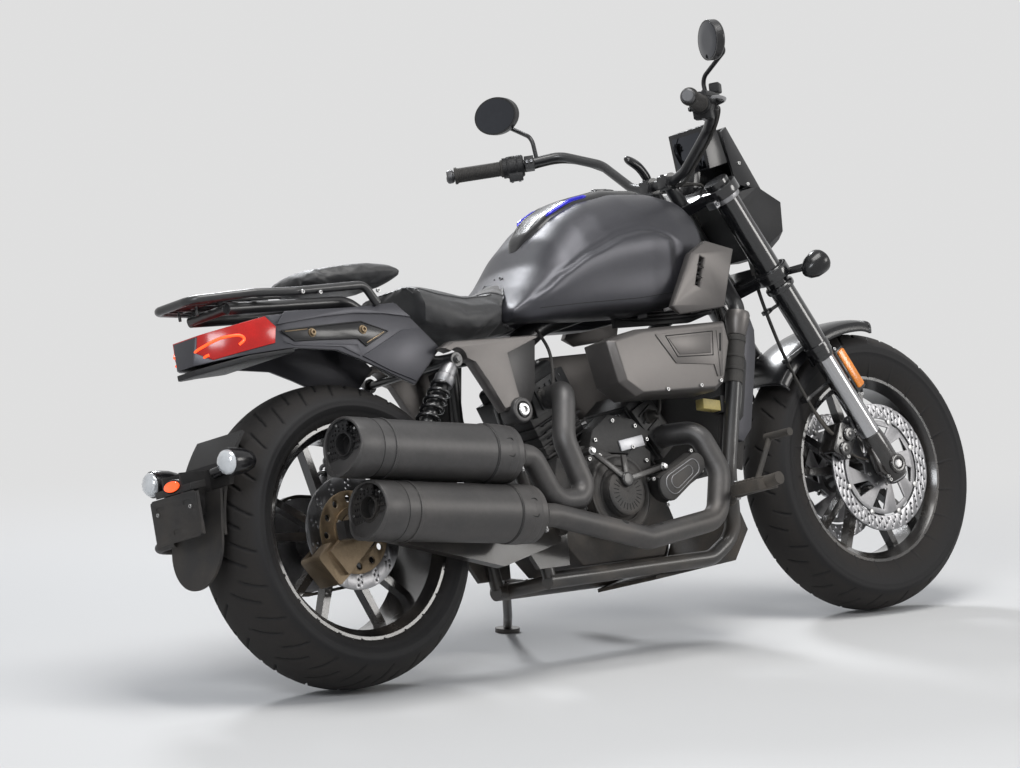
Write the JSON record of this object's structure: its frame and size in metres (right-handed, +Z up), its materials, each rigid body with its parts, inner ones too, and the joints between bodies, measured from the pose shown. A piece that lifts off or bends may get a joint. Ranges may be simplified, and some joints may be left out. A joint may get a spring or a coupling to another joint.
{
  "type": "cruiser motorcycle",
  "caption": "Two-wheeled cruiser with raked fork, open V engine, stacked silencers, rack and seats, parked leaning on its side stand; wheels, steering and stand move.",
  "frame": {"origin": "on the floor under the middle of the parked motorcycle's box", "axes": "+X to the front of the motorcycle, +Y to the rider's left, towards which it leans on its side stand, +Z up"},
  "size_m": [2.2868, 1.0604, 1.3755],
  "materials": {
    "alloy": "satin alloy",
    "black_frame": "satin black paint",
    "black_gloss": "gloss black paint",
    "bronze": "bronze anodised",
    "chrome": "polished",
    "engine_black": "black coated castings",
    "exhaust": "matte heat-proof coating",
    "grey_light": "satin warm grey paint",
    "grey_matte": "matte charcoal paint",
    "lamp_clear": "clear lens",
    "lamp_red": "red lens",
    "mirror": "mirror glass in black shell",
    "plastic_black": "black plastic",
    "plastic_gloss": "gloss black plastic",
    "rubber": "grip rubber",
    "seat": "black vinyl",
    "smoke": "smoked screen",
    "steel": "bright steel",
    "tyre": "road rubber"
  },
  "bodies": {
    "chassis": {"frame": "black_frame", "cradle": "black_frame", "subframe": "black_frame", "swingarm": "black_frame", "rear_axle": "steel", "shocks": "black_frame", "engine_case": "engine_black", "cylinder_rear": "engine_black", "cylinder_front": "engine_black", "engine_covers": "engine_black", "radiator": "plastic_black", "belly_pan": "plastic_black", "header_rear": "exhaust", "header_front": "exhaust", "muffler_upper": "exhaust", "muffler_lower": "exhaust", "airbox_covers": "grey_light", "fuel_tank": "grey_matte", "tank_console": "plastic_gloss", "tank_shrouds": "grey_light", "side_covers": "grey_light", "rider_seat": "seat", "pillion_seat": "seat", "rear_fender": "grey_matte", "tail_lamp": "lamp_red", "tail_lip": "plastic_black", "rear_rack": "black_frame", "drive_belt": "rubber", "front_pulley": "alloy", "plate_carrier": "plastic_black", "rear_signals": "lamp_clear", "rear_caliper": "bronze", "footpegs": "rubber"},
    "fork": {"triple_clamps": "black_gloss", "fork_uppers": "black_gloss", "fork_lowers": "chrome", "front_axle": "steel", "front_fender": "plastic_gloss", "front_calipers": "black_gloss", "handlebar": "black_frame", "grips": "rubber", "switchgear": "plastic_black", "mirrors": "mirror", "headlamp": "plastic_black", "headlamp_lens": "lamp_clear", "front_signals": "plastic_gloss", "windscreen": "smoke", "instrument": "plastic_gloss"},
    "front_wheel": {"front_tyre": "tyre", "front_rim": "black_gloss", "front_discs": "steel"},
    "rear_wheel": {"rear_tyre": "tyre", "rear_rim": "black_gloss", "rear_disc": "steel", "rear_pulley": "alloy"},
    "stand": {"side_stand": "black_frame"}
  },
  "joints": [
    {"name": "steering", "type": "hinge", "parent": "chassis", "child": "fork", "pos_m": [0.50139, -0.03617, 0.74687], "axis": [-0.5, 0.2271, 0.8357], "range_deg": [-32.2, 39.8]},
    {"name": "front_wheel_spin", "type": "hinge", "parent": "fork", "child": "front_wheel", "pos_m": [0.81748, -0.15522, 0.32218], "axis": [0.0574, 0.9716, -0.2296], "continuous": true},
    {"name": "rear_wheel_spin", "type": "hinge", "parent": "chassis", "child": "rear_wheel", "pos_m": [-0.75042, -0.15394, 0.31342], "axis": [0, 0.965, -0.2622], "continuous": true},
    {"name": "side_stand_fold", "type": "hinge", "parent": "chassis", "child": "stand", "pos_m": [-0.18041, -0.03939, 0.12479], "axis": [0.07, 0.5097, 0.8575], "range_deg": [0, 118]}
  ]
}
